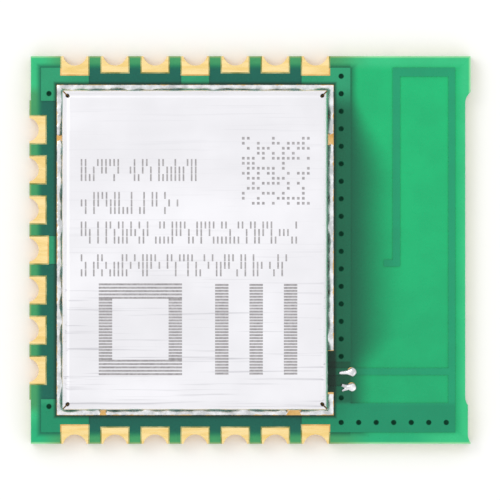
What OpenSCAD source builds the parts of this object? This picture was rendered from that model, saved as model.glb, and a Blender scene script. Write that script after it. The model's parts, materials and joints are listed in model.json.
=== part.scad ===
/* [Board] */
// Length of the board, from the terminal end to the antenna end
board_length = 16.5; // [16.3:0.1:18]
// Width of the board
board_width = 14.5; // [14.4:0.1:16]
// Thickness of the finished board, with its lands
board_thickness = 0.8; // [0.7:0.05:1.6]
// Thickness of the outer copper
copper_t = 0.035; // [0.02:0.001:0.05]
// Thickness of the solder mask
mask_t = 0.02; // [0.01:0.001:0.03]
// Thickness of the inner copper planes
plane_t = 0.03; // [0.015:0.001:0.04]
// Thickness of the outer sheets of glass and resin, over the planes
prepreg_t = 0.13; // [0.08:0.01:0.16]
// Distance from the board's edge to the inner planes and the pours
copper_inset = 0.45; // [0.42:0.01:0.55]
// Length of the antenna end, which has no inner copper
antenna_zone = 4.5; // [4.2:0.05:4.8]
// Depth of the deeper router pass along the antenna edge
router_depth = 0.2; // [0.1:0.01:0.3]
// Depth of the shallower router pass
router_step = 0.1; // [0.05:0.01:0.1]
// Radius of the router bit
router_r = 0.5; // [0.4:0.05:1]
// Depth of the step at the two corners beside the end row
corner_step = 0.05; // [0.02:0.01:0.08]
// Length of that step
corner_step_length = 1.65; // [1.2:0.05:1.9]

/* [Terminals] */
// Distance between neighbouring terminals
pitch = 1.5; // [1.4:0.01:1.55]
// Distance from the terminal end to the first terminal of the side rows
row_start = 1.7; // [1.6:0.05:1.9]
// Width of a land
land_width = 1; // [0.98:0.01:1.1]
// Depth of an upper land
land_depth = 0.6; // [0.5:0.01:0.65]
// Depth of an upper land on a ground terminal
ground_land_depth = 0.68; // [0.6:0.01:0.75]
// Depth of a land underneath
lower_land_depth = 1.5; // [1.2:0.05:1.6]
// Radius of the half hole, finished
half_hole_r = 0.45; // [0.35:0.01:0.45]
// Distance of the half hole's centre outside the edge
half_hole_offset = 0.1; // [0.05:0.01:0.15]
// Thickness of the plating in the half holes
plating_t = 0.04; // [0.02:0.005:0.04]
// Gap between a land and the solder mask round it
mask_gap = 0.05; // [0.03:0.005:0.06]

/* [Shield can] */
// Distance from the can to the antenna zone
can_zone_gap = 0.85; // [0.8:0.01:0.95]
// Distance from the board's sides to the can
can_side_setback = 1.3; // [1.25:0.01:1.4]
// Height of the can above its land
can_height = 1.5; // [1.45:0.05:2.5]
// Thickness of the sheet
sheet_t = 0.2; // [0.1:0.01:0.25]
// Outer radius of the folds
fold_r = 0.3; // [0.27:0.01:0.4]
// Distance from the terminal end to the can
can_setback = 1.25; // [1.15:0.05:1.35]
// Width of the seams at the can's corners
seam_gap = 0.05; // [0.03:0.01:0.1]
// Radius of the relief hole where two folds meet
relief_r = 0.08; // [0.05:0.01:0.12]
// Length of the opening over the antenna feed
feed_opening = 1.55; // [1.2:0.05:1.8]
// Distance from the can's corner to that opening
feed_opening_setback = 0.63; // [0.5:0.01:0.8]
// Height of that opening
feed_opening_height = 0.9; // [0.5:0.05:1.1]
// Width of the can's land outside its walls
ring_margin = 0.23; // [0.15:0.01:0.25]
// Width of the can's land inside its walls
ring_inner_margin = 0.22; // [0.1:0.01:0.3]
// Height of the solder fillet on the walls
fillet_height = 0.28; // [0.15:0.01:0.4]
// Radius of the hollow face of the solder fillet
fillet_r = 0.4; // [0.35:0.01:0.8]

/* [Antenna] */
// Distance from the board's end to the antenna's upright
antenna_inset = 0.6; // [0.5:0.05:0.8]
// Distance from the board's side to the antenna's top bar
antenna_side_inset = 0.45; // [0.42:0.01:0.8]
// Distance between the centres of the upright and the arm
antenna_span = 2.07; // [1.5:0.01:2.5]
// Length of the arm, from the top bar's centre
arm_length = 7.25; // [5:0.05:9]
// Length of the foot at the arm's end
arm_foot = 0.45; // [0.2:0.05:1]
// Width of the upright, the feed line and the foot
upright_w = 0.21; // [0.15:0.01:0.35]
// Width of the top bar
top_bar_w = 0.29; // [0.15:0.01:0.4]
// Width of the arm
arm_w = 0.23; // [0.15:0.01:0.35]
// Width of the ground band beside the antenna
ground_band_w = 1.05; // [0.8:0.05:1.3]
// Diameter of the lands of the two solder joints at the feed
feed_land_d = 0.32; // [0.2:0.01:0.36]
// Distance of those lands from the can
feed_land_setback = 0.9; // [0.85:0.01:1]
// Distance between those two lands
feed_land_pitch = 0.57; // [0.5:0.01:0.65]
// Height of the solder on them
feed_solder_height = 0.1; // [0.05:0.01:0.14]

/* [Vias and tracks] */
// Drilled diameter of a via
via_d = 0.2; // [0.15:0.01:0.24]
// Thickness of the plating in a via
via_plating_t = 0.025; // [0.015:0.005:0.03]
// Diameter of a via's pad
via_pad_d = 0.4; // [0.36:0.01:0.44]
// Distance between the vias of the fence
fence_pitch = 0.655; // [0.6:0.005:0.66]
// Distance from the can to the fence
fence_setback = 0.51; // [0.45:0.01:0.6]
// Width of a signal track
signal_w = 0.1; // [0.08:0.01:0.12]
// Width of a supply track
supply_w = 0.33; // [0.25:0.01:0.36]
// Width of a power track
power_w = 0.38; // [0.3:0.01:0.42]
// Gap between the pour and what it doesn't carry
clearance = 0.195; // [0.14:0.005:0.22]
// Gap between the lands of the side rows and the pour underneath
row_gap = 0.46; // [0.3:0.01:0.5]
// Width of the links from the first side terminals to the pour underneath
link_w = 0.45; // [0.3:0.01:0.6]

/* [Parts under the can] */
// Width, length and thickness of the radio chip
chip_size = [2.9, 4.9, 0.6];
// Length of one of the chip's contacts
contact_l = 0.3; // [0.2:0.01:0.35]
// Width of one of the chip's contacts
contact_w = 0.2; // [0.15:0.01:0.22]
// Thickness of the chip's contacts
contact_t = 0.12; // [0.05:0.01:0.2]
// Distance between the chip's contacts
contact_pitch = 0.4; // [0.35:0.01:0.5]
// Length, width and height of the crystal
crystal_size = [2.5, 2, 0.65];
// Length, width and height of the antenna filter
filter_size = [1.6, 0.8, 0.6];
// Distance from the can's end to the middle of the antenna filter
filter_setback = 1.85; // [1.5:0.05:2]
// Length, width and height of a power inductor
inductor_size = [2, 1.6, 1];
// Length, width and height of a small capacitor
capacitor_size = [1, 0.5, 0.5];
// Length, width and height of a resistor
resistor_size = [1, 0.5, 0.35];
// Thickness of the solder under a part
joint_t = 0.03; // [0.01:0.005:0.05]

/* [Hidden] */
TERMINALS_PER_ROW = 7;
ROUND = 48;
SMALL_ROUND = 24;
// What a cutting shape reaches past the surface that it cuts
PAST = 1;

// Heights, from the face that rests on the host board upwards
land_t = copper_t + mask_t;
lower_plane_z = land_t + prepreg_t;
core_z = lower_plane_z + plane_t;
core_t = board_thickness - 2 * core_z;
upper_plane_z = core_z + core_t;
upper_copper_z = board_thickness - land_t;
upper_land_z = board_thickness - mask_t;

// Plan: x runs from the terminal end, y from the centre line
half_width = board_width / 2;
can_length = board_length - antenna_zone - can_zone_gap - can_setback;
can_width = board_width - 2 * can_side_setback;
zone_x = board_length - antenna_zone;
can_end = can_setback + can_length;
can_x = can_setback + can_length / 2;
drilled_r = half_hole_r + plating_t;
feed_y = feed_opening_setback + feed_opening / 2 - can_width / 2;
fence_x = can_end + fence_setback;
upright_x = board_length - antenna_inset - upright_w / 2;
top_bar_y = half_width - antenna_side_inset - top_bar_w / 2;
arm_x = upright_x - antenna_span;
band_y = copper_inset - half_width;
band_top_y = band_y + ground_band_w;
feed_land_x = can_end + feed_land_setback;
feed_lands = [[feed_land_x, feed_y], [feed_land_x, feed_y - feed_land_pitch]];

// Terminals: row, number in the row, centre on the edge, turn, ground or not
function side_x(i) = row_start + i * pitch;
function end_y(i) = ((TERMINALS_PER_ROW - 1) / 2 - i) * pitch;
NUMBERS = [0 : TERMINALS_PER_ROW - 1];
TERMINALS = concat(
    [for (i = NUMBERS) ["north", i + 1, [side_x(i), half_width], 0, i % 3 == 0]],
    [for (i = NUMBERS) ["west", i + 1, [0, end_y(i)], 90, i == 3]],
    [for (i = NUMBERS) ["south", i + 1, [side_x(i), -half_width], 180, i % 6 == 0]]);
function terminal_name(t) = str("terminal_", t[0], "_", t[1]);
function upper_depth(t) = t[4] ? ground_land_depth : land_depth;

// The board that the places of tracks, stitches and parts are given for; they keep their share of
// another board's length and width
DRAWN_LENGTH = 16.5;
DRAWN_WIDTH = 14.5;
function fitted(points) = [
    for (p = points) [p[0] * board_length / DRAWN_LENGTH, p[1] * board_width / DRAWN_WIDTH]];
function fitted_lines(lines) = [for (line = lines) fitted(line)];
function fitted_parts(parts) = [for (p = parts) concat(fitted([p])[0], p[2])];

// Where a track meets the lands underneath, inside their inner edges
north_y = DRAWN_WIDTH / 2 - lower_land_depth + 0.3;
end_x = lower_land_depth - 0.1;

// Vias of the fence, of the ground band and of the two corners
FENCE_STEPS = [0 : 16];
fence_start_y = half_width - 0.75;
function fence_y(i) = fence_start_y - i * fence_pitch;
INNER_FENCE_STEPS = [4 : 16];
inner_fence_x = can_end - 0.38;
BAND_STEPS = [0 : 6];
band_via_y = band_y + 0.35;
corner_via = [0.73, half_width - 1.4];
fence_vias = concat(
    [for (i = FENCE_STEPS) [fence_x, fence_y(i)]],
    [for (i = INNER_FENCE_STEPS) [inner_fence_x, fence_y(i)]],
    [for (i = BAND_STEPS) [fence_x + i * fence_pitch, band_via_y]],
    [[fence_x, band_top_y + 0.22], [inner_fence_x, band_top_y + 0.7]],
    [corner_via, [corner_via[0], -corner_via[1]]]);

// Vias that stitch the pours together
STITCHES = fitted([
    [8.65, 4.85], [6.45, 5.45], [5.95, 5.45], [3.65, 5], [2.8, 4.25], [1.95, 5.45],
    [7.65, 3.6], [6.3, 3.2], [4.35, 3.7], [3.05, 3.2], [9.45, 2.9], [5.1, 2.45],
    [8.65, 2.05], [9.7, 1.95], [7.7, 1.6], [6.6, 1.2], [6.2, 0.7], [3.4, 0.65], [1.9, 0.5],
    [6.65, -0.05], [2.5, -0.2], [2.4, -1.2], [8.65, -1.4], [7.5, -2.2], [2.4, -2.1],
    [4.75, -2.8], [9.1, -2.9], [2.4, -3.35], [4.75, -3.4], [8.9, -3.55], [8.9, -4.2],
    [9.35, -4.65], [2.4, -4.75], [6.5, -5.2], [2, -5.4]]);

// Tracks underneath: each starts at a via
SIGNALS = fitted_lines([
    [[3.5, 2.8], [4.5, 2.8], [6.4, 4.7], [6.65, 4.7], [7.25, 5.3], [7.25, north_y]],
    [[2.65, 3.7], [3.1, 3.7], [4.7, 5.3], [4.7, north_y]],
    [[2.3, 4.75], [2.75, 5.2], [2.75, north_y]],
    [[2.45, 2.15], [2.45, 3.1], [end_x, 4.15]],
    [[1.95, 2.05], [end_x, 2.6]],
    [[1.85, 1.4], [end_x, 1.4]],
    [[2.45, 0.8], [2.45, 0.4], [2.1, 0.05], [2.1, -0.85], [1.85, -1.1], [end_x, -1.1]],
    [[2.45, -2.7], [end_x, -2.7]],
    [[2, -3.7], [end_x, -4.3]],
    [[5.75, 0.3], [5.75, -0.1], [4.85, -1], [3.85, -1], [3.55, -1.3], [3.55, -5.05],
        [3.8, -5.3], [5.7, -5.3], [5.8, -5.4], [5.8, -north_y]],
    [[5.85, 1.25], [5.2, 0.6], [5.2, -0.3], [4.75, -0.75], [3.75, -0.75], [3.3, -1.2],
        [3.3, -5.15], [3.65, -5.5], [4.15, -5.5], [4.3, -5.65], [4.3, -north_y]]]);
SUPPLIES = fitted_lines([
    [[4.5, -0.4], [3.5, -0.4], [2.85, -1.05], [2.85, -north_y]],
    [[6.2, -0.6], [6.55, -0.95], [6.55, -2.2]],
    [[5.8, -1.05], [6, -1.25], [6, -2.55], [6.35, -2.9], [7.75, -2.9]],
    [[3.95, -1.5], [4.1, -1.35], [4.75, -1.35], [5.3, -1.9], [5.3, -2.35], [6.4, -3.45], [6.6, -3.45]]]);
POWERS = fitted_lines([
    [[8.25, 3.6], [8.25, 3.8], [7.9, 4.15], [7.4, 4.15], [6.85, 3.6], [6.85, 3.05],
        [5.85, 2.05], [5.55, 2.05], [3.6, 0.1], [3.45, -0.05], [3.15, -0.05]],
    [[7.85, 3.05], [7.85, 2.15], [8.25, 1.75], [8.25, 1.2], [7.75, 0.7], [7.75, -1.5],
        [8.4, -2.15], [8.4, -3.45], [7.65, -4.2], [4.75, -4.2], [4.15, -4.8], [3.9, -4.8]],
    [[4.45, -1.75], [4.1, -2.1], [4.1, -4.6], [3.9, -4.8]],
    [[10.05, 2.6], [10.15, 2.5], [10.15, -0.8], [9.1, -1.85]],
    [[8.95, 2.6], [9.25, 2.3], [9.25, 1.8], [8.9, 1.45], [8.9, 0.2], [8.4, -0.3]]]);
LONE_VIAS = fitted([[8.4, 0.38], [7.28, -3.45], [2, 2.65]]);
// Vias at the far ends of supply and power tracks
FAR_VIAS = fitted([
    [6.55, -2.2], [7.75, -2.9], [6.6, -3.45], [2.85, -5.3], [3.15, -0.05], [3.9, -4.8],
    [9.1, -1.85], [8.4, -0.3]]);
signal_vias = concat([for (s = concat(SIGNALS, SUPPLIES, POWERS)) s[0]], LONE_VIAS, FAR_VIAS);
VIAS = concat(fence_vias, STITCHES, signal_vias);
// Places between the tracks that the pour doesn't reach: centre, turn and size
POCKETS = [
    [[4.9, 0.2], 56, [1.44, 0.8]], [[5.52, -1.13], 75, [0.68, 0.57]],
    [[7.3, -3.45], -4, [1.4, 0.83]], [[1.98, 2.34], 87, [2.07, 0.77]]];

// Parts under the can: x, y and turn of each
CHIP = fitted_parts([[6.2, -0.43, 0]])[0];
CRYSTAL = fitted_parts([[6.2, 3.9, 0]])[0];
FILTER = [can_end - filter_setback, feed_y, 0];
INDUCTORS = fitted_parts([[3.33, -3.93, 0], [3.33, -1.58, 0]]);
CAPACITORS = fitted_parts([
    for (y = [0.43 : 1 : 2.43]) for (x = [2.57, 3.93]) [x, y, 0],
    for (y = [-3.13 : 0.9 : 4.1]) [9.27, y, 0],
    [3.07, 4.57, 0], [4.13, 4.57, 90]]);
RESISTORS = fitted_parts([[4.93, -3.93, 90], [5.93, -3.93, 90], [6.93, -3.93, 90], [2.63, 3.53, 0]]);
parts_z = board_thickness + joint_t;

// ---- Drawing helpers

// Puts the plan's origin, the middle of the terminal end, where it belongs on the centred part
module placed() translate([-board_length / 2, 0, 0]) children();

// A flat layer of its children, t thick, from height z up
module layer(z, t) placed() translate([0, 0, z]) linear_extrude(t) children();

// A rectangle between two corners, made larger all round by grow
module rect(low, high, grow = 0)
    translate([low[0] - grow, low[1] - grow])
        square([high[0] - low[0] + 2 * grow, high[1] - low[1] + 2 * grow]);

// Circles at a list of points
module dots(points, r, facets = SMALL_ROUND)
    for (p = points) translate(p) circle(r, $fn = facets);

// Outline of a track along points p, w wide, with mitred bends
function direction(a, b) = (b - a) / norm(b - a);
function left_of(d) = [-d[1], d[0]];
function track_side(p, i, offset) =
    let (last = len(p) - 1,
         before = left_of(direction(p[max(i - 1, 0)], p[max(i, 1)])),
         after = left_of(direction(p[min(i, last - 1)], p[min(i + 1, last)])))
    p[i] + offset * (before + after) / (1 + before * after);
module track(p, w) polygon(concat(
    [for (i = [0 : len(p) - 1]) track_side(p, i, w / 2)],
    [for (i = [len(p) - 1 : -1 : 0]) track_side(p, i, -w / 2)]));

// ---- Board outline and what is cut out of it

// What one pass of the router takes off the antenna edge, between y = start and y = stop
module router_pass(depth, start, stop)
    translate([board_length + router_r - depth, 0]) {
        rect([-router_r, start], [router_r, stop]);
        dots([[0, start], [0, stop]], router_r, ROUND);
    }

module board_outline() difference() {
    rect([0, -half_width], [board_length, half_width]);
    router_pass(router_depth, 1.75 - half_width, half_width - 1.75);
    router_pass(router_step, 0.35 - half_width, 0);
    for (side = [-1, 1])
        translate([corner_step - PAST, side * (half_width + PAST - corner_step_length / 2)])
            square([2 * PAST, corner_step_length + 2 * PAST], center = true);
}

module at_terminal(t) translate(t[2]) rotate(t[3]) children();

module half_holes(r)
    for (t = TERMINALS) at_terminal(t) translate([0, half_hole_offset]) circle(r, $fn = ROUND);

// The board's outline with its half holes and vias drilled
module drilled_board() difference() {
    board_outline();
    half_holes(drilled_r);
    dots(VIAS, via_d / 2);
}

// A land of terminal t, made larger by grow and carried past the edge
module land(t, depth, grow = 0)
    at_terminal(t) rect([-land_width / 2, -depth], [land_width / 2, PAST], grow);

// ---- Sheets of the board

module inner_plane_outline() difference() {
    union() {
        rect([copper_inset, copper_inset - half_width], [zone_x, half_width - copper_inset]);
        rect([can_x, band_y], [board_length - antenna_inset, band_top_y]);
    }
    dots(signal_vias, via_pad_d / 2 + clearance / 2);
    dots(concat(fence_vias, STITCHES), via_d / 2);
}

module prepreg_upper() color("#8fae62") difference() {
    layer(upper_plane_z, upper_copper_z - upper_plane_z) drilled_board();
    layer(upper_plane_z, plane_t) inner_plane_outline();
}

module core() color("#a3b56c") layer(core_z, core_t) drilled_board();

module prepreg_lower() color("#8fae62") difference() {
    layer(land_t, core_z - land_t) drilled_board();
    layer(lower_plane_z, plane_t) inner_plane_outline();
}

module ground_plane() color("#b5713c") layer(upper_plane_z, plane_t) inner_plane_outline();

module supply_plane() color("#b5713c") layer(lower_plane_z, plane_t) inner_plane_outline();

// ---- Outer copper, upper side

// The land that the can stands on, open at the feed
module ring_land(grow = 0) difference() {
    translate([can_x, 0]) square([can_length + 2 * (ring_margin + grow),
        can_width + 2 * (ring_margin + grow)], center = true);
    translate([can_x, 0]) square([can_length - 2 * (sheet_t + ring_inner_margin + grow),
        can_width - 2 * (sheet_t + ring_inner_margin + grow)], center = true);
    rect([can_x, feed_y - feed_opening / 2], [can_end + PAST, feed_y + feed_opening / 2], -grow);
}

// Pours and ground links outside the can
module upper_pour(grow) {
    for (t = TERMINALS) if (t[4])
        at_terminal(t) rect([-land_width / 2, -can_setback], [land_width / 2, -ground_land_depth], grow);
    for (side = [0, 1]) mirror([0, side]) {
        rect([copper_inset, half_width - corner_step_length], [can_setback, half_width - copper_inset], grow);
        rect([side_x(TERMINALS_PER_ROW - 1), can_width / 2], [zone_x, half_width - copper_inset], grow);
    }
    rect([can_end, feed_y + 2 * clearance], [zone_x, can_width / 2], grow);
    rect([can_end, band_y], [zone_x, feed_lands[1][1]], grow);
    rect([can_end, band_y], [board_length - antenna_inset, band_top_y], grow);
}

// Upper copper that the mask runs over
module upper_ground_outline(grow = 0) difference() {
    union() {
        ring_land(grow);
        upper_pour(grow);
    }
    for (t = TERMINALS) land(t, upper_depth(t));
}

// Upper copper left bare for solder: the parts' lands, the via pads under the can and a feed land
module solder_lands(grow = 0) {
    part_lands(grow);
    dots(signal_vias, via_pad_d / 2 + grow);
    translate(feed_lands[1]) circle(feed_land_d / 2 + grow, $fn = SMALL_ROUND);
}

module copper_upper() color("#d9a55b") layer(upper_copper_z, copper_t) difference() {
    union() {
        upper_ground_outline();
        solder_lands();
    }
    dots(VIAS, via_d / 2);
}

// Inverted-F antenna: an upright on the ground band, a top bar, an arm and the feed line
module antenna_outline(grow = 0) {
    top = top_bar_y + top_bar_w / 2;
    tip = top_bar_y - arm_length;
    rect([upright_x - upright_w / 2, band_top_y], [upright_x + upright_w / 2, top], grow);
    rect([arm_x - arm_w / 2, top - top_bar_w], [upright_x + upright_w / 2, top], grow);
    rect([arm_x - arm_w / 2, tip], [arm_x + arm_w / 2, top], grow);
    rect([arm_x - arm_foot, tip], [arm_x, tip + upright_w], grow);
    rect([FILTER[0] + filter_size[0] / 2, feed_y - upright_w / 2], [upright_x, feed_y + upright_w / 2], grow);
    translate(feed_lands[0]) circle(feed_land_d / 2 + grow, $fn = SMALL_ROUND);
}

module antenna() color("#c98d4b") layer(upper_copper_z, copper_t) antenna_outline();

// ---- Outer copper, lower side

module lower_pour(grow) {
    far_x = side_x(TERMINALS_PER_ROW - 1) - land_width / 2;
    near_x = side_x(0) - land_width / 2;
    pour_x = lower_land_depth + clearance;
    pour_y = half_width - lower_land_depth - row_gap;
    edge_y = half_width - copper_inset;
    rect([pour_x, -pour_y], [zone_x, pour_y], grow);
    rect([far_x, -edge_y], [zone_x, edge_y], grow);
    rect([can_x, band_y], [board_length - antenna_inset, band_top_y], grow);
    for (side = [0, 1]) mirror([0, side]) {
        rect([copper_inset, half_width - corner_step_length], [near_x, edge_y], grow);
        rect([near_x + land_width - link_w, pour_y - 1], [near_x + land_width, edge_y], grow);
    }
    for (t = TERMINALS) if (t[4] && (t[1] == 4))
        at_terminal(t) rect([-land_width / 2, -lower_land_depth - row_gap], [land_width / 2, -copper_inset], grow);
}

// What the tracks and vias keep clear of the pour
module lower_channels(grow) {
    side = clearance - grow;
    for (s = SIGNALS) track(s, signal_w + 2 * side);
    for (s = SUPPLIES) track(s, supply_w + 2 * side);
    for (s = POWERS) track(s, power_w + 2 * side);
    for (p = POCKETS) translate(fitted([p[0]])[0]) rotate(p[1]) square(p[2] - 2 * [grow, grow], center = true);
    dots(signal_vias, via_pad_d / 2 + side);
}

module copper_lower_outline(grow = 0) difference() {
    union() {
        difference() {
            lower_pour(grow);
            lower_channels(grow);
        }
        for (s = SIGNALS) track(s, signal_w + 2 * grow);
        for (s = SUPPLIES) track(s, supply_w + 2 * grow);
        for (s = POWERS) track(s, power_w + 2 * grow);
        dots(VIAS, via_pad_d / 2 + grow);
    }
    for (t = TERMINALS) land(t, lower_land_depth);
}

module copper_lower() color("#d9a55b") layer(mask_t, copper_t) difference() {
    copper_lower_outline();
    dots(VIAS, via_d / 2);
}

// ---- Solder mask: thin over the bare board, and it steps up over the copper

module solder_mask_upper() color("#3f9d72") difference() {
    union() {
        layer(upper_copper_z, mask_t) upper_mask_region();
        layer(upper_copper_z, land_t) intersection() {
            upper_mask_region();
            union() {
                upper_ground_outline(mask_t);
                antenna_outline(mask_t);
            }
        }
    }
    layer(upper_copper_z, copper_t) {
        upper_ground_outline();
        antenna_outline();
    }
}

module upper_mask_region() difference() {
    drilled_board();
    for (t = TERMINALS) land(t, upper_depth(t), mask_gap);
    ring_land();
    solder_lands();
    translate(feed_lands[0]) circle(feed_land_d / 2, $fn = SMALL_ROUND);
}

module solder_mask_lower() color("#3f9d72") difference() {
    union() {
        layer(copper_t, mask_t) lower_mask_region();
        layer(0, land_t) intersection() {
            lower_mask_region();
            copper_lower_outline(mask_t);
        }
    }
    layer(mask_t, copper_t) copper_lower_outline();
}

module lower_mask_region() difference() {
    drilled_board();
    for (t = TERMINALS) land(t, lower_land_depth, mask_gap);
}

// ---- Vias

module via_barrels() color("#b98a4a") layer(mask_t, upper_land_z - mask_t) difference() {
    dots(VIAS, via_d / 2);
    dots(VIAS, via_d / 2 - via_plating_t);
}

module via_filling() color("#16261d") layer(mask_t, upper_land_z - mask_t)
    dots(VIAS, via_d / 2 - via_plating_t);

// ---- Castellated terminals

// One terminal: its two lands and the plated half hole that joins them
module terminal(t) color("#e3b567") placed() at_terminal(t) difference() {
    union() {
        linear_extrude(land_t)
            rect([-land_width / 2, -lower_land_depth], [land_width / 2, 0]);
        translate([0, 0, board_thickness - land_t]) linear_extrude(land_t)
            rect([-land_width / 2, -upper_depth(t)], [land_width / 2, 0]);
        linear_extrude(board_thickness) intersection() {
            translate([0, half_hole_offset]) circle(drilled_r, $fn = ROUND);
            rect([-drilled_r, -drilled_r], [drilled_r, 0]);
        }
    }
    translate([0, half_hole_offset, -PAST]) cylinder(r = half_hole_r, h = board_thickness + 2 * PAST, $fn = ROUND);
}

// ---- Shield can

// Section of a folded box, w wide and h high, its two upper corners rounded
module folded_section(w, h, r) {
    rect([-w / 2, 0], [w / 2, h - r]);
    rect([r - w / 2, 0], [w / 2 - r, h]);
    dots([[r - w / 2, h - r], [w / 2 - r, h - r]], r, ROUND);
}

// A box whose four upper edges are folds, inset into the can's outside
module folded_box(inset, down = 0) {
    length = can_length - 2 * inset;
    width = can_width - 2 * inset;
    intersection() {
        translate([0, 0, -down]) rotate([90, 0, 0]) linear_extrude(width, center = true)
            folded_section(length, can_height - inset + down, fold_r - inset);
        translate([0, 0, -down]) rotate([90, 0, 90]) linear_extrude(length, center = true)
            folded_section(width, can_height - inset + down, fold_r - inset);
    }
}

// Places on the can, from its own centre
relief_offset = 0.7 * fold_r;
module at_can_corners()
    for (side_x = [0, 1]) for (side_y = [0, 1]) mirror([side_x, 0, 0]) mirror([0, side_y, 0])
        translate([can_length / 2 - relief_offset, can_width / 2 - relief_offset, 0]) children();

module feed_cut(from_x, height) translate([from_x, feed_y - feed_opening / 2, -PAST])
    cube([PAST, feed_opening, height + PAST]);

module shield_can() color("#dcdbe0") placed() translate([can_x, 0, upper_land_z]) difference() {
    folded_box(0);
    folded_box(sheet_t, PAST);
    at_can_corners() {
        translate([0, 0, can_height - fold_r]) cylinder(r = relief_r, h = 2 * fold_r, $fn = SMALL_ROUND);
        rotate(45) translate([0, -seam_gap / 2, -PAST]) cube([PAST, seam_gap, can_height + 2 * PAST]);
    }
    feed_cut(can_length / 2 - fold_r, feed_opening_height);
}

// ---- Solder

// Centre of the arc from the wall's height to the land's edge, hollow side out
fillet_chord = norm([ring_margin, fillet_height]);
fillet_reach = sqrt(pow(fillet_r, 2) - pow(fillet_chord / 2, 2)) / fillet_chord;
fillet_centre = [ring_margin / 2 + fillet_height * fillet_reach,
                 fillet_height / 2 + ring_margin * fillet_reach];

module shield_solder() color("#f2f3f5") placed() translate([can_x, 0, upper_land_z]) difference() {
    linear_extrude(fillet_height) difference() {
        square([can_length + 2 * ring_margin, can_width + 2 * ring_margin], center = true);
        square([can_length, can_width], center = true);
    }
    for (side = [-1, 1]) {
        translate([side * (can_length / 2 + fillet_centre[0]), 0, fillet_centre[1]])
            rotate([90, 0, 0]) cylinder(r = fillet_r, h = can_width + 2 * PAST, center = true, $fn = ROUND);
        translate([0, side * (can_width / 2 + fillet_centre[0]), fillet_centre[1]])
            rotate([0, 90, 0]) cylinder(r = fillet_r, h = can_length + 2 * PAST, center = true, $fn = ROUND);
    }
    feed_cut(can_length / 2 - sheet_t, fillet_height + PAST);
}

// A drop of solder on a round land
module feed_solder() color("#f2f3f5") {
    drop_r = (pow(feed_land_d / 2, 2) + pow(feed_solder_height, 2)) / (2 * feed_solder_height);
    placed() for (p = feed_lands) intersection() {
        translate([p[0], p[1], upper_land_z + feed_solder_height - drop_r]) sphere(drop_r, $fn = ROUND);
        translate([p[0], p[1], upper_land_z]) cylinder(r = feed_land_d, h = feed_solder_height, $fn = ROUND);
    }
}

// ---- Parts under the can

module at_part(p) translate([p[0], p[1]]) rotate(p[2]) children();

// Lands at the two ends of a part
module end_lands(size, grow = 0)
    for (side = [0, 1]) mirror([side, 0])
        rect([size[0] / 4, -size[1] / 2], [size[0] / 2, size[1] / 2], grow);

// Lands at the four corners of a part
module corner_lands(size, grow = 0)
    for (side = [0, 1]) mirror([0, side]) translate([0, size[1] * 0.3])
        end_lands([size[0], size[1] * 0.4], grow);

// Contacts of the chip: a row along each side, and a pad in the middle
module chip_contacts(grow = 0) {
    far = chip_size / 2;
    near = [for (end = [0, 1]) far[end] - contact_l];
    rect(contact_l * [1, 1] - near, near - contact_l * [1, 1], grow);
    rows = [for (end = [0, 1]) floor((near[end] - contact_w) / contact_pitch)];
    for (side = [0, 1]) {
        mirror([side, 0]) for (i = [-rows[1] : rows[1]])
            rect([near[0], i * contact_pitch - contact_w / 2], [far[0], i * contact_pitch + contact_w / 2], grow);
        mirror([0, side]) for (i = [-rows[0] : rows[0]])
            rect([i * contact_pitch - contact_w / 2, near[1]], [i * contact_pitch + contact_w / 2, far[1]], grow);
    }
}

module part_lands(grow = 0) {
    for (p = CAPACITORS) at_part(p) end_lands(capacitor_size, grow);
    for (p = RESISTORS) at_part(p) end_lands(resistor_size, grow);
    for (p = INDUCTORS) at_part(p) end_lands(inductor_size, grow);
    at_part(FILTER) end_lands(filter_size, grow);
    at_part(CRYSTAL) corner_lands(crystal_size, grow);
    at_part(CHIP) chip_contacts(grow);
}

module part_solder() color("#e6e7ea") layer(upper_land_z, parts_z - upper_land_z) part_lands();

module part_block(size, z = parts_z)
    translate([-size[0] / 2, -size[1] / 2, z]) cube(size);

// A chip part: its body and the metal caps at its ends, which stand a little proud
module capped_block(size) {
    cap = 0.02;
    part_block([size[0], size[1] - 2 * cap, size[2] - cap]);
    for (side = [0, 1]) mirror([side, 0, 0])
        translate([size[0] / 4, -size[1] / 2, parts_z]) cube([size[0] / 4, size[1], size[2]]);
}

module radio_chip() color("#2b2d33") placed() at_part(CHIP) difference() {
    part_block(chip_size);
    translate([0, 0, parts_z - PAST]) linear_extrude(PAST + contact_t) chip_contacts();
}

module chip_leads() color("#d5d7db") placed() at_part(CHIP)
    translate([0, 0, parts_z]) linear_extrude(contact_t) chip_contacts();

crystal_lid_t = 0.1;
module crystal_tray() color("#e9e4d8") placed() at_part(CRYSTAL)
    part_block([crystal_size[0], crystal_size[1], crystal_size[2] - crystal_lid_t]);

module crystal_lid() color("#cfd1d4") placed() at_part(CRYSTAL)
    part_block([crystal_size[0] * 0.9, crystal_size[1] * 0.88, crystal_lid_t],
        parts_z + crystal_size[2] - crystal_lid_t);

module antenna_filter() color("#dfe6ea") placed() at_part(FILTER) capped_block(filter_size);

module inductors() color("#5d5f63") placed() for (p = INDUCTORS) at_part(p) capped_block(inductor_size);

module capacitors() color("#b98e62") placed() for (p = CAPACITORS) at_part(p) capped_block(capacitor_size);

module resistors() color("#23252a") placed() for (p = RESISTORS) at_part(p) capped_block(resistor_size);

// ---- Nodes

prepreg_upper();
core();
prepreg_lower();
ground_plane();
supply_plane();
copper_upper();
copper_lower();
antenna();
solder_mask_upper();
solder_mask_lower();
via_barrels();
via_filling();
for (t = TERMINALS) terminal(t);
shield_can();
shield_solder();
feed_solder();
radio_chip();
chip_leads();
crystal_tray();
crystal_lid();
antenna_filter();
inductors();
capacitors();
resistors();
part_solder();
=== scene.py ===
import json
import math

import bmesh
import bpy
from mathutils import Matrix, Vector, noise


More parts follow.
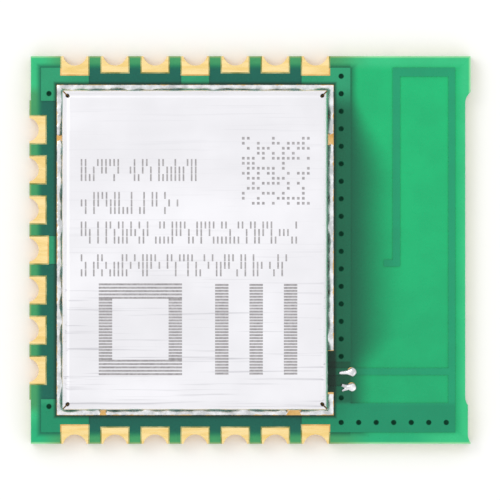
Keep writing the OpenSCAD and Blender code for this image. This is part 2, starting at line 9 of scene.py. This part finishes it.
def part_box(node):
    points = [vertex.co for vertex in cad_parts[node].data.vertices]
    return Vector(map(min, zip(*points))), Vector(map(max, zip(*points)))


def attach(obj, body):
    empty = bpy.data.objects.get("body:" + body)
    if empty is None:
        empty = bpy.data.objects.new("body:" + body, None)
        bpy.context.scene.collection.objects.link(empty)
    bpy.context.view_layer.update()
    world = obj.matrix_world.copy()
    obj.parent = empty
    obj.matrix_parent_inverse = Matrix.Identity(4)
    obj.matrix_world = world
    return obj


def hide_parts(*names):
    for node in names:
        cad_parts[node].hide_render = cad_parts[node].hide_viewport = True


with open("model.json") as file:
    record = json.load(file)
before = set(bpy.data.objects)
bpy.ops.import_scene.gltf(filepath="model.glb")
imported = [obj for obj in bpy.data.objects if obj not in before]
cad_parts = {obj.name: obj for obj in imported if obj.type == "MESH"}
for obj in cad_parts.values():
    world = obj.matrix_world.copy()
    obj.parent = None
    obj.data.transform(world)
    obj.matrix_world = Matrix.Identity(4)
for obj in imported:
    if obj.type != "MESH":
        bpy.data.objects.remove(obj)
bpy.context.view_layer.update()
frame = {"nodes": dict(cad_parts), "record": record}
MM = 0.001


# ---------------------------------------------------------------- small helpers
def linear(code):
    """'#rrggbb' as linear RGBA."""
    values = [int(code[i:i + 2], 16) / 255 for i in (1, 3, 5)]
    return [v / 12.92 if v <= 0.04045 else ((v + 0.055) / 1.055) ** 2.4 for v in values] + [1.0]


def add(tree, kind, inputs=None, **settings):
    """A node with its settings, and its inputs set or linked."""
    node = tree.nodes.new(kind)
    for name, value in settings.items():
        setattr(node, name, value)
    for name, value in (inputs or {}).items():
        if isinstance(value, bpy.types.NodeSocket):
            tree.links.new(value, node.inputs[name])
        else:
            node.inputs[name].default_value = value
    return node


def calc(tree, operation, a, b=0.0):
    return add(tree, "ShaderNodeMath", {0: a, 1: b}, operation=operation).outputs[0]


def between(tree, value, low, high, to_low=0.0, to_high=1.0):
    """value's place between low and high, smoothed and held at both ends."""
    return add(tree, "ShaderNodeMapRange", {"Value": value, "From Min": low, "From Max": high,
                                            "To Min": to_low, "To Max": to_high},
               interpolation_type="SMOOTHSTEP").outputs["Result"]


def mix(tree, factor, a, b):
    """a where factor is 0, b where it is 1; each is a hex code or a socket."""
    a, b = (linear(colour) if isinstance(colour, str) else colour for colour in (a, b))
    return add(tree, "ShaderNodeMix", {0: factor, 6: a, 7: b}, data_type="RGBA").outputs[2]


def grain(tree, size_mm, stretch=(1, 1, 1), detail=3.0, w=0.0):
    """Noise whose spots are about size_mm across, stretched along the axes."""
    place = tree.nodes.get("place") or add(tree, "ShaderNodeTexCoord", name="place")
    scaled = add(tree, "ShaderNodeMapping", {"Vector": place.outputs["Object"],
                 "Location": (w, w, w), "Scale": [s / (size_mm * MM) for s in stretch]})
    return add(tree, "ShaderNodeTexNoise", {"Vector": scaled.outputs[0], "Scale": 1.0,
               "Detail": detail, "Roughness": 0.55}).outputs["Fac"]


def bump(tree, height, depth_um, before=None):
    inputs = {"Height": height, "Distance": depth_um * 1e-6, "Strength": 1.0}
    if before:
        inputs["Normal"] = before
    return add(tree, "ShaderNodeBump", inputs).outputs[0]


def new_material(name, metallic=0.0, roughness=0.4):
    material = bpy.data.materials.new(name)
    material.use_nodes = True
    tree = material.node_tree
    shader = tree.nodes["Principled BSDF"]
    shader.inputs["Metallic"].default_value = metallic
    shader.inputs["Roughness"].default_value = roughness
    return material, tree, shader


def plain(name, dark, light, size_mm, rough, metallic=0.0, depth_um=2.0, stretch=(1, 1, 1)):
    """A material with spots of two shades, a roughness that varies and a fine relief."""
    material, tree, shader = new_material(name, metallic)
    spots = grain(tree, size_mm, stretch)
    tree.links.new(mix(tree, between(tree, spots, 0.3, 0.7), dark, light), shader.inputs["Base Color"])
    tree.links.new(between(tree, grain(tree, size_mm / 2, stretch, w=3.0), 0.3, 0.7, *rough),
                   shader.inputs["Roughness"])
    tree.links.new(bump(tree, grain(tree, size_mm / 4, stretch, w=7.0), depth_um),
                   shader.inputs["Normal"])
    return material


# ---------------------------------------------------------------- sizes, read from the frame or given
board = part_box("core")
half_x, half_y = board[1][0], board[1][1]
can_low, can_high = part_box("shield_can")
solder_low, solder_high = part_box("shield_solder")
mask_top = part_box("solder_mask_upper")[1][2]
mask_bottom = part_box("solder_mask_lower")[0][2]
middle_z = (mask_top + mask_bottom) / 2
zone_x = half_x - 4.5 * MM  # the antenna zone, bare of planes
band_y = -half_y + 1.5 * MM  # top of the ground band beside the antenna
feed_low, feed_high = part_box("feed_solder")
feed_opening = (-5.34 * MM, -3.79 * MM)  # where the can's wall is cut away for the antenna feed
ring = ((solder_low[0] + solder_high[0]) / 2, (solder_high[0] - solder_low[0]) / 2,
        (solder_high[1] - solder_low[1]) / 2)  # centre and half sizes of the can's land
land_z = solder_low[2]
thread_pitch = 0.42 * MM  # glass cloth of the board
mark_t = 2e-6  # a laser mark's burnt layer, set into the can so that its face just shows
relief_in = 0.2 * MM  # the can's corner relief holes, in from both walls


# ---------------------------------------------------------------- materials
def solder_mask():
    """Liquid photoimageable solder mask over glass epoxy: teal where an inner plane lies behind it, paler
    where it runs over copper, with light out of the bare laminate painted in as brighter colour, and painted
    shade beside the can and round its land."""
    material, tree, shader = new_material("solder_mask_green_lacquer")
    shader.inputs["Specular IOR Level"].default_value = 0.3  # a fine matt skin dulls the gloss
    place = add(tree, "ShaderNodeTexCoord", name="place")
    x, y, z = add(tree, "ShaderNodeSeparateXYZ", {0: place.outputs["Object"]}).outputs

    def most(a, b):
        return calc(tree, "MAXIMUM", a, b)

    def both(a, b):
        return calc(tree, "MULTIPLY", a, b)

    def less(a, b):
        return calc(tree, "SUBTRACT", a, b)

    def span(value, zero, low, high):
        """0 to 1 from low to high, in millimetres past zero."""
        return between(tree, value, zero + low * MM, zero + high * MM)

    far_x, far_y = calc(tree, "ABSOLUTE", x), calc(tree, "ABSOLUTE", y)
    to_edge = calc(tree, "MINIMUM", less(half_x, far_x), less(half_y, far_y))
    upper = between(tree, z, middle_z, mask_top - 0.04 * MM)

    # Light getting into the laminate at the antenna zone and the board's edges is painted into the colour as
    # brightness, and the planes' shadow
    # as painted shade: it reaches furthest into the zone half way along the can, and only a little on the
    # underside.
    reach = calc(tree, "MINIMUM",
                 between(tree, y, -3.0 * MM, -4.6 * MM, zone_x + 2.1 * MM, zone_x + 0.9 * MM),
                 between(tree, y, 2.5 * MM, 6.0 * MM, zone_x + 2.1 * MM, zone_x + 0.35 * MM))
    lit = most(between(tree, x, zone_x - 0.1 * MM, reach),
               both(span(x, zone_x, -0.3, 0.5), less(1.0, upper)))
    edge = span(to_edge, 0.0, 0.58, 0.2)
    rim = span(to_edge, 0.0, 0.09, 0.02)
    in_zone = span(x, zone_x, -0.02, 0.02)
    corner = both(span(x, -half_x, 1.3, 0.3), span(far_y, half_y, -1.5, -1.0))
    open_edge = most(span(x, zone_x, -0.7, 0.9), corner)
    south = both(span(y, -half_y, 1.2, 0.5), span(x, half_x, -1.0, -2.4))

    # without outer copper
    bright = mix(tree, between(tree, y, -half_y, half_y * 0.6), "#0ea86b", "#0cb670")
    lit_edge = mix(tree, open_edge, "#3f9c62", mix(tree, south, "#2fc07e", "#1aad74"))
    bright = mix(tree, edge, bright, lit_edge)
    zone = mix(tree, most(lit, edge), "#046043", bright)
    # painted shade: on the upper side the mask over the plane is darker east of the can's wall
    by_can = span(x, can_high[0], -0.1, 0.1)
    over_plane = mix(tree, upper, "#007a67", mix(tree, by_can, "#026352", "#04553a"))
    bare = mix(tree, most(edge, in_zone), over_plane, zone)
    bare = mix(tree, rim, bare, mix(tree, open_edge, "#86ad6c", "#8fdb9c"))

    # over outer copper: pours, the strip beside the can darkened as painted shade, the antenna brightened by
    # the painted light, and the ground band
    pour = mix(tree, grain(tree, 2.5), mix(tree, upper, "#25a571", "#1f9466"),
               mix(tree, upper, "#30b07c", "#2aa172"))
    strip = both(both(upper, by_can), both(span(y, band_y, -0.2, 0.1), span(y, half_y, -0.9, -2.2)))
    covered = mix(tree, strip, pour, "#0a6748")
    covered = mix(tree, in_zone, covered, mix(tree, lit, "#0a6848", "#11996a"))
    covered = mix(tree, span(y, band_y, 0.1, -0.1), covered, "#0c8c62")

    # the lacquer stands higher over copper, and the step between the two is darkened as painted shade
    height = calc(tree, "ABSOLUTE", less(z, middle_z))
    raised = span(height, mask_top - middle_z, -0.03, -0.008)
    step = both(raised, less(1.0, raised))
    colour = mix(tree, raised, bare, covered)
    colour = mix(tree, both(step, 2.4), colour, "#0a5a3c")

    # painted shadow: a dark line round the can's land on the upper side; and faint clouds in the ink
    beside = most(less(calc(tree, "ABSOLUTE", less(x, ring[0])), ring[1]), less(far_y, ring[2]))
    shade = both(between(tree, beside, 0.16 * MM, 0.02 * MM, 0.0, 0.85), upper)
    colour = mix(tree, shade, colour, "#05251b")
    cloud = between(tree, grain(tree, 1.1, detail=4), 0.25, 0.75, 0.0, 0.12)
    tree.links.new(mix(tree, cloud, colour, "#0a4f3a"), shader.inputs["Base Color"])
    tree.links.new(between(tree, grain(tree, 0.5, w=2.0), 0.3, 0.7, 0.22, 0.34), shader.inputs["Roughness"])

    # the glass cloth shows through the lacquer as a faint relief
    threads = [add(tree, "ShaderNodeTexWave", {"Vector": place.outputs["Object"],
                   "Scale": math.pi / 10 / thread_pitch, "Distortion": 1.2, "Detail": 1.0},
                   bands_direction=axis).outputs["Fac"] for axis in "XY"]
    weave = bump(tree, both(*threads), 1.2)
    tree.links.new(bump(tree, grain(tree, 0.12, w=5.0), 1.0, weave), shader.inputs["Normal"])
    return material


def laminate():
    """Routed edge of glass cloth in epoxy: pale threads in layers, cut across."""
    material, tree, shader = new_material("glass_epoxy_laminate_routed")
    threads = grain(tree, 0.35, (0.6, 0.6, 9.0))
    tree.links.new(mix(tree, between(tree, threads, 0.35, 0.65), "#8f9a4e", "#d6d69a"),
                   shader.inputs["Base Color"])
    tree.links.new(between(tree, grain(tree, 0.1, w=4.0), 0.3, 0.7, 0.5, 0.75), shader.inputs["Roughness"])
    tree.links.new(bump(tree, grain(tree, 0.08, (1, 1, 3), w=1.0), 8.0), shader.inputs["Normal"])
    return material


def land_gold():
    """Immersion gold over nickel, rolled lands: one finish on both sides, with the underside painted darker
    and warmer as shade.
    """
    material = plain("immersion_gold_over_nickel", "#f2d083", "#fce2a4", 0.3, (0.22, 0.36),
                     metallic=1.0, depth_um=1.0, stretch=(0.25, 1.5, 1))
    tree = material.node_tree
    colour = tree.nodes["Principled BSDF"].inputs["Base Color"]
    pale = colour.links[0].from_socket
    z = add(tree, "ShaderNodeSeparateXYZ", {0: tree.nodes["place"].outputs["Object"]}).outputs["Z"]
    # painted shade: lands on the underside darker and warmer than on the upper side
    tree.links.new(mix(tree, between(tree, z, 0.1 * MM, middle_z), "#dfad62", pale), colour)
    return material


def via_resin(*values):
    """What fills a via lies in a shallow pit, which hides the sky's shine."""
    material = plain(*values)
    material.node_tree.nodes["Principled BSDF"].inputs["Specular IOR Level"].default_value = 0.08
    return material


def shield_sheet():
    """Tinned nickel-silver sheet, drawn and folded: a faint brushed grain along its length, rubbed stronger
    towards -Y, and painted shade over and round the relief hole of each corner, so that each reads as a dark
    opening."""
    material, tree, shader = new_material("tinned_nickel_silver_sheet_brushed", metallic=1.0)
    place = add(tree, "ShaderNodeTexCoord", name="place")
    x, y = add(tree, "ShaderNodeSeparateXYZ", {0: place.outputs["Object"]}).outputs[:2]
    lines = grain(tree, 0.09, (0.02, 1, 1), detail=2)
    patches = grain(tree, 3.5, w=2.0)
    sheet = mix(tree, between(tree, patches, 0.3, 0.7), "#e8e7eb", "#f1f0f4")
    scratch = calc(tree, "MULTIPLY", between(tree, lines, 0.56, 0.72),
                   between(tree, y, 0.5 * MM, -3.0 * MM, 0.12, 0.65))
    sheet = mix(tree, scratch, sheet, "#bdbcc2")
    # painted shade: the sheet darkened over and round each corner's relief hole
    to_hole = []
    for along, low, high in ((x, can_low[0], can_high[0]), (y, can_low[1], can_high[1])):
        from_middle = calc(tree, "ABSOLUTE", calc(tree, "SUBTRACT", along, (low + high) / 2))
        off = calc(tree, "SUBTRACT", from_middle, (high - low) / 2 - relief_in)
        to_hole.append(calc(tree, "MULTIPLY", off, off))
    hole_shade = between(tree, calc(tree, "SQRT", calc(tree, "ADD", *to_hole)), 0.085 * MM, 0.055 * MM)
    tree.links.new(mix(tree, hole_shade, sheet, "#2c2a28"), shader.inputs["Base Color"])
    tree.links.new(between(tree, grain(tree, 1.4, (0.2, 1, 1), w=6.0), 0.3, 0.7, 0.3, 0.4),
                   shader.inputs["Roughness"])
    brushed = bump(tree, calc(tree, "MULTIPLY", lines, between(tree, y, 1.0 * MM, -3.5 * MM, 0.35, 1.0)), 1.1)
    tree.links.new(bump(tree, grain(tree, 0.05, w=9.0), 0.3, brushed), shader.inputs["Normal"])
    return material


MATERIALS = {
    "laminate": laminate(),
    # etched foil, pink-brown and slightly dull, seen only at the board's edge
    "inner_copper": plain("copper_foil_etched", "#b9744c", "#cf8a5e", 0.6, (0.3, 0.45), 1.0),
    # foil with the same finish as the lands, where the mask leaves it open
    "outer_copper": plain("gold_over_nickel_on_foil", "#d9a860", "#efc684", 0.5, (0.25, 0.4), 1.0),
    "solder_mask": solder_mask(),
    # plated barrels tinted by lacquer, and the dark resin that plugs them
    "via_plating": via_resin("copper_plating_under_lacquer", "#0a3f2c", "#0f5238", 0.1, (0.5, 0.6)),
    "via_plug": via_resin("via_plug_resin", "#002a1b", "#013a26", 0.1, (0.6, 0.7)),
    "gold": land_gold(),
    "shield": shield_sheet(),
    # tin that froze with soft lumps, brighter and duller by turns
    "solder": plain("tin_solder_reflowed", "#c3c6c8", "#f6f7fa", 0.4, (0.14, 0.3), 1.0, 2.5),
    # transfer moulded, black with a fine matt spark finish
    "moulding": plain("epoxy_moulding_black", "#1b1c1f", "#26272b", 0.2, (0.5, 0.7)),
    # matt tin plate on stamped metal
    "lead_metal": plain("tin_plated_lead", "#c9cacf", "#dddee2", 0.2, (0.3, 0.45), 1.0),
    # fired ceramic, chalky
    "ceramic_white": plain("alumina_fired", "#d9d4c6", "#ebe7dc", 0.15, (0.5, 0.7)),
    # pressed and fired iron oxide, dark grey and grainy
    "ferrite": plain("ferrite_pressed", "#3b3c40", "#4c4d52", 0.15, (0.55, 0.75)),
    # fired capacitor body, brown with a slight sheen
    "ceramic_tan": plain("barium_titanate_fired", "#8d6a45", "#a98258", 0.15, (0.45, 0.6)),
    # tin burnt by a laser, grey and dull
    "laser_mark": plain("tin_laser_etched_grey", "#9b989a", "#b5b2b4", 0.08, (0.55, 0.75), 0.5, 1.0),
}
for part in frame["record"]["subparts"]:
    shown = frame["nodes"][part["node"]]
    if not shown.material_slots:
        shown.data.materials.append(None)
    for place in shown.material_slots:
        place.material = MATERIALS[part["material_slot"]]


# ---------------------------------------------------------------- pieces
def piece(name, mesh, slot, *nodes):
    shown = bpy.data.objects.new(name, mesh)
    bpy.context.scene.collection.objects.link(shown)
    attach(shown, "root")
    if nodes:
        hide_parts(*nodes)
    return shown


def finished(bm, name, slot, base_z):
    """The open skin, closed with a rim and a flat base, as a smooth mesh with its faces outwards."""
    skin, rim = bm.faces[:], [edge for edge in bm.edges if edge.is_boundary]
    base = {vert: bm.verts.new((vert.co.x, vert.co.y, base_z)) for vert in bm.verts[:]}
    for face in skin:
        bm.faces.new([base[vert] for vert in reversed(face.verts)])
    for edge in rim:
        a, b = edge.verts
        bm.faces.new((a, b, base[b], base[a]))
    bmesh.ops.recalc_face_normals(bm, faces=bm.faces)
    for face in skin:
        face.smooth = True
    for edge in rim:
        edge.smooth = False
    mesh = bpy.data.meshes.new(name)
    bm.to_mesh(mesh)
    bm.free()
    mesh.materials.append(MATERIALS[slot])
    return mesh


def fillet_rows():
    """Foot and outward direction of each section round the can, and None along the feed opening."""
    low, high = can_low, can_high
    step = 0.04 * MM
    corner_turns = 8
    sides = [((low[0], low[1]), (1, 0), high[0] - low[0], (0, -1)),
             ((high[0], low[1]), (0, 1), high[1] - low[1], (1, 0)),
             ((high[0], high[1]), (-1, 0), high[0] - low[0], (0, 1)),
             ((low[0], high[1]), (0, -1), high[1] - low[1], (-1, 0))]
    for start, along, length, out in sides:
        start, along, out = Vector(start), Vector(along), Vector(out)
        count = int(length / step)
        for i in range(count + 1):
            foot = start + along * (length * i / count)
            by_feed = out.x == 1 and feed_opening[0] - 0.02 * MM < foot.y < feed_opening[1] + 0.02 * MM
            yield None if by_feed else (foot, out)
        for i in range(1, corner_turns):
            turn = math.pi / 2 * i / corner_turns
            yield start + along * length, out * math.cos(turn) + along * math.sin(turn)


def solder_fillet():
    """Solder that wetted the can's wall unevenly: its height and reach wander, it thins over a few
    stretches of land, and it stops at the feed opening."""
    reach = solder_high[0] - can_high[0]
    rise = solder_high[2] - solder_low[2]
    profile = 7  # faces across the fillet
    skin_t = 2e-6  # the thinnest solder, at the fillet's outer edge
    thin = [(Vector((can_high[0], 4.15 * MM)), 0.22 * MM), (Vector((1.64 * MM, can_low[1])), 0.28 * MM),
            (Vector((-5.5 * MM, can_low[1])), 0.12 * MM), (Vector((can_low[0], 4.19 * MM)), 0.1 * MM)]
    bm = bmesh.new()
    rings = []
    for row in fillet_rows():
        if row is None:
            rings.append(None)
            continue
        foot, out = row
        spot = Vector((foot.x + out.x * 0.2 * MM, foot.y + out.y * 0.2 * MM, 0)) / MM
        wander = (noise.noise(spot * 2.3) * 0.5 + noise.noise(spot * 6.0) * 0.3
                  + noise.noise(spot * 14.0) * 0.2)
        width = reach * min(0.99, max(0.7, 0.97 + 0.35 * wander))
        width *= max(abs(out.x), abs(out.y)) ** -0.8  # fuller round the corners of the land
        along_wall = Vector((foot.x, foot.y, 0)) / MM * 1.7 + Vector((9, 4, 1))
        height = rise * min(0.99, max(0.35, 0.72 + 0.5 * noise.noise(along_wall)))
        for centre, half in thin:
            near = max(0.0, 1 - (foot - centre).length / half)
            width *= 1 - 0.8 * min(1.0, near * 3)
            height *= 1 - 0.6 * min(1.0, near * 3)
        if foot.x == can_high[0]:
            gap = min(abs(foot.y - end) for end in feed_opening)
            width *= min(1.0, 0.7 + gap / (0.2 * MM))
        ring = []
        for j in range(profile + 1):
            t = j / profile
            lift = height * (1 - t) ** 2.1 + 0.012 * MM * math.sin(math.pi * t) * (1 + 2 * wander)
            at = foot + out * (width * t)
            ring.append(bm.verts.new((at.x, at.y, land_z + max(0.0, lift) + skin_t)))
        rings.append(ring)
    for ring, after in zip(rings, rings[1:] + rings[:1]):
        if ring and after:
            for j in range(profile):
                bm.faces.new((ring[j], ring[j + 1], after[j + 1], after[j]))
    bmesh.ops.remove_doubles(bm, verts=bm.verts, dist=1e-7)
    return finished(bm, "solder_fillet", "solder", land_z)


def solder_drops():
    """Joints at the feed: one drawn out towards the can, one with two short arms. Each drop is a
    chain of places and radii in millimetres, and its height follows its radius."""
    drops = [[((3.36, -4.6), 0.05), ((3.62, -4.58), 0.08), ((3.815, -4.565), 0.172)],
             [((3.46, -5.06), 0.06), ((3.62, -5.12), 0.09), ((3.815, -5.135), 0.168)],
             [((3.47, -5.25), 0.05), ((3.62, -5.18), 0.08)]]
    cell, corner, columns, rows = 0.012, Vector((3.25, -5.45)), 62, 91
    full_radius = 0.2
    links = [(Vector(a), ra, Vector(b), rb) for chain in drops
             for (a, ra), (b, rb) in zip(chain, chain[1:])]
    bm = bmesh.new()
    grid = {}
    for i in range(columns + 1):
        for j in range(rows + 1):
            at = corner + Vector((i * cell, j * cell))
            best = -1.0
            for a, ra, b, rb in links:
                t = min(1.0, max(0.0, (at - a).dot(b - a) / (b - a).length_squared))
                radius = (ra + (rb - ra) * t) * (1 + 0.12 * noise.noise(Vector((at.x, at.y, 0)) * 6))
                off = (at - a - (b - a) * t).length / radius
                best = max(best, (1 - off ** 2) * radius / full_radius)
            if best > 0:
                lift = (feed_high[2] - feed_low[2]) * math.sqrt(best) * 0.97
                grid[i, j] = bm.verts.new((at.x * MM, at.y * MM, feed_low[2] + lift))
    for i, j in grid:
        corners = [grid.get(k) for k in ((i, j), (i + 1, j), (i + 1, j + 1), (i, j + 1))]
        if all(corners):
            bm.faces.new(corners)
    for lone in [v for v in bm.verts if not v.link_faces]:
        bm.verts.remove(lone)
    return finished(bm, "feed_joints", "solder", feed_low[2])


piece("solder_fillet", solder_fillet(), "solder", "shield_solder")
piece("feed_joints", solder_drops(), "solder", "feed_solder")


# ---------------------------------------------------------------- laser marks on the can, plain patterns
def mark_group():
    """Geometry Nodes: flat tiles on a grid, of which a share is kept at random."""
    tree = bpy.data.node_groups.new("laser_tiles", "GeometryNodeTree")
    for name, kind in (("Columns", "Int"), ("Rows", "Int"), ("Width", "Float"), ("Height", "Float"),
                       ("Tile", "Vector"), ("Share", "Float"), ("Seed", "Int"), ("Material", "Material")):
        tree.interface.new_socket(name, in_out="INPUT", socket_type="NodeSocket" + kind)
    tree.interface.new_socket("Geometry", in_out="OUTPUT", socket_type="NodeSocketGeometry")
    given = add(tree, "NodeGroupInput").outputs
    grid = add(tree, "GeometryNodeMeshGrid", {"Size X": given["Width"], "Size Y": given["Height"],
               "Vertices X": given["Columns"], "Vertices Y": given["Rows"]})
    chosen = add(tree, "FunctionNodeRandomValue", {"Probability": given["Share"], "Seed": given["Seed"]},
                 data_type="BOOLEAN")
    tile = add(tree, "GeometryNodeMeshCube", {"Size": given["Tile"]})
    placed = add(tree, "GeometryNodeInstanceOnPoints", {"Points": grid.outputs["Mesh"],
                 "Selection": chosen.outputs[3], "Instance": tile.outputs["Mesh"]})
    real = add(tree, "GeometryNodeRealizeInstances", {"Geometry": placed.outputs[0]})
    painted = add(tree, "GeometryNodeSetMaterial", {"Geometry": real.outputs[0],
                  "Material": given["Material"]})
    add(tree, "NodeGroupOutput", {"Geometry": painted.outputs[0]})
    return tree


TILES = mark_group()


def mark(name, centre, size, columns, rows, tile, share=1.0, seed=1):
    """A grid of tiles, centred on the can's top; places and sizes in millimetres."""
    holder = bpy.data.objects.new(name + "_maker", bpy.data.meshes.new(name + "_maker"))
    bpy.context.scene.collection.objects.link(holder)
    made = holder.modifiers.new("tiles", "NODES")
    made.node_group = TILES
    values = {"Columns": columns, "Rows": rows, "Width": size[0] * MM, "Height": size[1] * MM,
              "Tile": (tile[0] * MM, tile[1] * MM, mark_t), "Share": share, "Seed": seed,
              "Material": MATERIALS["laser_mark"]}
    for socket in TILES.interface.items_tree:
        if socket.in_out == "INPUT":
            made[socket.identifier] = values[socket.name]
    shown = holder.evaluated_get(bpy.context.evaluated_depsgraph_get())
    mesh = bpy.data.meshes.new_from_object(shown)
    bpy.data.objects.remove(holder)
    mesh.name = name
    mesh.transform(Matrix.Translation((centre[0] * MM, centre[1] * MM, can_high[2] - 0.45 * mark_t)))
    return piece(name, mesh, "shield")


hatch = 0.11  # distance between the lines of a hatched field, in millimetres
mark("mark_code", (0.96, 2.95), (2.42, 2.42), 14, 14, (0.1, 0.1), 0.52, 4)
for number, (x0, x1, top, bottom) in enumerate(((-6.32, -1.97, 3.40, 2.55), (-6.32, -2.65, 2.18, 1.32),
                                                (-6.32, 1.77, 1.08, 0.22), (-6.32, 1.40, -0.14, -1.0))):
    width = x1 - x0
    mark("mark_row_%d" % (number + 1), ((x0 + x1) / 2, (top + bottom) / 2), (width - 0.1, 0.56),
         int(width / 0.15), 3, (0.06, 0.26), 0.5, 11 + number)
for name, centre, size in (("top", (-4.08, -1.53), (3.1, 0.5)), ("bottom", (-4.08, -4.37), (3.1, 0.5)),
                           ("left", (-5.38, -2.95), (0.5, 2.2)), ("right", (-2.78, -2.95), (0.5, 2.2))):
    mark("mark_frame_" + name, centre, (0.1, size[1]), 1, int(size[1] / hatch) + 1, (size[0], 0.075))
for number, x in enumerate((-1.05, 0.23, 1.51)):
    mark("mark_strip_%d" % (number + 1), (x, -2.95), (0.1, 3.3), 1, 31, (0.5, 0.075))


# ---------------------------------------------------------------- floor, light and camera
floor_mesh = bpy.data.meshes.new("floor")
floor_z = -1e-5  # just under the board, so that the two don't share a plane
floor_mesh.from_pydata([(x, y, floor_z) for x, y in ((-1, -1), (1, -1), (1, 1), (-1, 1))], [], [(0, 1, 2, 3)])
floor = bpy.data.objects.new("floor", floor_mesh)
bpy.context.scene.collection.objects.link(floor)
floor_material, _, floor_shader = new_material("floor_white_card", roughness=0.9)
floor_shader.inputs["Base Color"].default_value = (0.95, 0.95, 0.95, 1)
floor_mesh.materials.append(floor_material)

world = bpy.data.worlds.new("studio")
bpy.context.scene.world = world
world.use_nodes = True
sky = world.node_tree
background = sky.nodes["Background"]
ray = add(sky, "ShaderNodeLightPath")
direct = calc(sky, "MAXIMUM", ray.outputs["Is Camera Ray"],
              calc(sky, "MAXIMUM", ray.outputs["Is Glossy Ray"], ray.outputs["Is Transmission Ray"]))
strength = add(sky, "ShaderNodeMapRange", {"Value": direct, "To Min": 0.98, "To Max": 1.0})
background.inputs["Color"].default_value = (1, 1, 1, 1)
sky.links.new(strength.outputs[0], background.inputs["Strength"])


def area_light(name, place, size, power):
    """A square soft light that points at the part."""
    lamp = bpy.data.lights.new(name, "AREA")
    lamp.size = size
    lamp.energy = power
    shown = bpy.data.objects.new(name, lamp)
    bpy.context.scene.collection.objects.link(shown)
    shown.location = place
    shown.rotation_euler = (-Vector(place)).to_track_quat("-Z", "Y").to_euler()


area_light("key", (-0.12, 0.1, 0.22), 0.12, 0.11)
area_light("fill", (0.16, -0.12, 0.2), 0.16, 0.03)

lens = bpy.data.cameras.new("camera")
camera = bpy.data.objects.new("camera", lens)
bpy.context.scene.collection.objects.link(camera)
bpy.context.scene.camera = camera
distance = 0.3
fills = 0.88  # share of the picture's width that the board takes
lens.lens = lens.sensor_width * distance / ((board[1][0] - board[0][0]) / fills)
lens.clip_start, lens.clip_end = 0.005, 10
camera.location = (0, 0, distance)
bpy.context.scene.view_settings.view_transform = "Standard"
